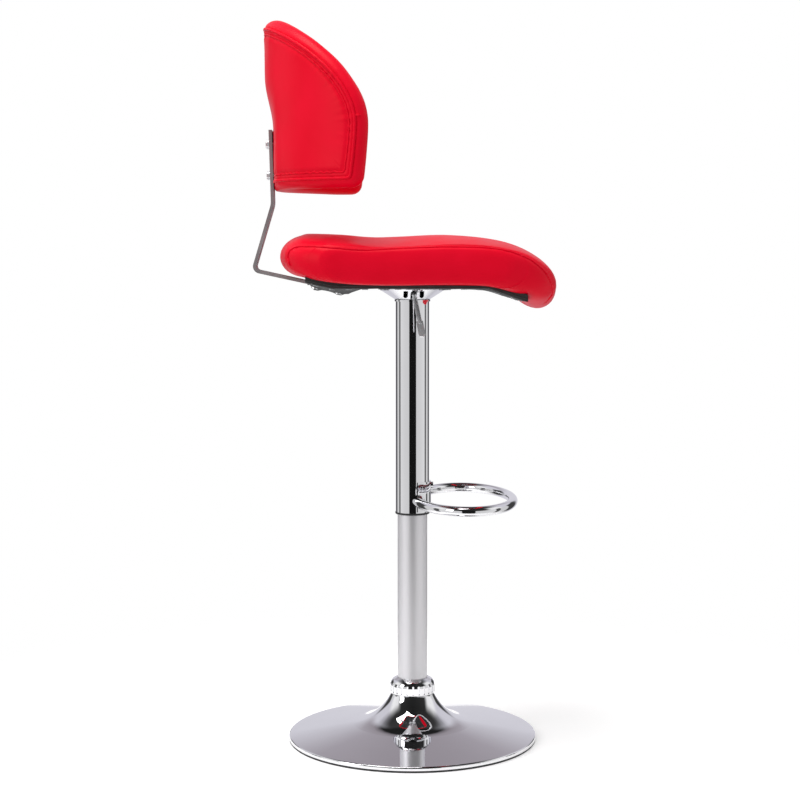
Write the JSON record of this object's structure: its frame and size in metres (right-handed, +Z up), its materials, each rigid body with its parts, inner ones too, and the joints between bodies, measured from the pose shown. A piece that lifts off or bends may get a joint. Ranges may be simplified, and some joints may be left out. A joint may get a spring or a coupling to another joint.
{
  "type": "adjustable swivel stool",
  "caption": "Height-adjustable swivel bar stool: chrome trumpet base, gas-lift column, oval footrest, waterfall padded seat and wrapped low back on a bent flat bar.",
  "frame": {"origin": "on the floor, on the column's axis", "axes": "+Z up along the column, the stool's front towards -Y, the height lever on the -X side"},
  "size_m": [0.4306, 0.4645, 1.11],
  "materials": {
    "bright_chrome": "polished",
    "satin_steel": "satin",
    "grey_steel": "satin",
    "plain_steel": "satin",
    "black_steel": "satin",
    "black_plastic": "matte",
    "black_rubber": "matte",
    "cast_weight": "matte",
    "black_board": "matte",
    "pale_ply": "matte",
    "black_cloth": "matte",
    "red_leather": "satin",
    "foam": "matte"
  },
  "bodies": {
    "base": {"base_shell": "bright_chrome", "floor_ring": "black_rubber", "base_weight": "cast_weight", "column_socket": "plain_steel", "base_bolts": "plain_steel", "collar_ring": "bright_chrome", "column_tube": "satin_steel", "column_end_plate": "plain_steel", "lower_race": "plain_steel", "guide_bush": "black_plastic"},
    "bearing": {"bearing_cage": "black_plastic", "bearing_balls": "plain_steel"},
    "gas_rod": {"piston_rod": "plain_steel", "upper_race": "plain_steel", "bump_stop": "black_rubber", "rod_clip": "plain_steel", "piston": "black_plastic"},
    "seat": {"gas_cylinder": "black_steel", "cylinder_guide": "black_plastic", "rod_seal": "black_rubber", "valve_body": "black_plastic", "cover_tube": "bright_chrome", "tube_end_bush": "black_plastic", "dome_cover": "bright_chrome", "taper_socket": "plain_steel", "mount_plate": "black_steel", "plate_bolts": "plain_steel", "lever_pin": "plain_steel", "lever_bracket": "black_steel", "foot_saddle": "bright_chrome", "foot_screws": "bright_chrome", "foot_ring": "bright_chrome", "seat_board": "black_board", "board_nuts": "plain_steel", "dust_cover": "black_cloth", "bar_screws": "grey_steel", "seat_foam": "foam", "seat_cover": "red_leather", "back_bar": "grey_steel", "back_bolts": "grey_steel", "back_cover": "red_leather", "back_front_foam": "foam", "back_ply": "pale_ply", "back_rear_foam": "foam", "back_nuts": "plain_steel"},
    "lever": {"height_lever": "bright_chrome"},
    "release": {"release_pin": "plain_steel"}
  },
  "joints": [
    {"name": "swivel", "type": "hinge", "parent": "base", "child": "gas_rod", "pos_m": [0, 0, 0.02], "axis": [0, 0, 1], "continuous": true},
    {"name": "bearing_roll", "type": "hinge", "parent": "base", "child": "bearing", "pos_m": [0, 0, 0.018], "axis": [0, 0, 1], "continuous": true},
    {"name": "lift", "type": "slide", "parent": "gas_rod", "child": "seat", "axis": [0, 0, 1], "range_m": [-0.21, 0]},
    {"name": "lever_lift", "type": "hinge", "parent": "seat", "child": "lever", "pos_m": [-0.024, 0, 0.696], "axis": [0, 1, 0], "range_deg": [0, 6]},
    {"name": "pin_press", "type": "slide", "parent": "seat", "child": "release", "axis": [0, 0, -1], "range_m": [0, 0.0026]}
  ],
  "couplings": [
    {"joint": "bearing_roll", "follows": "swivel", "ratio": 0.5},
    {"joint": "pin_press", "follows": "lever_lift", "m_per_rad": 0.024}
  ]
}
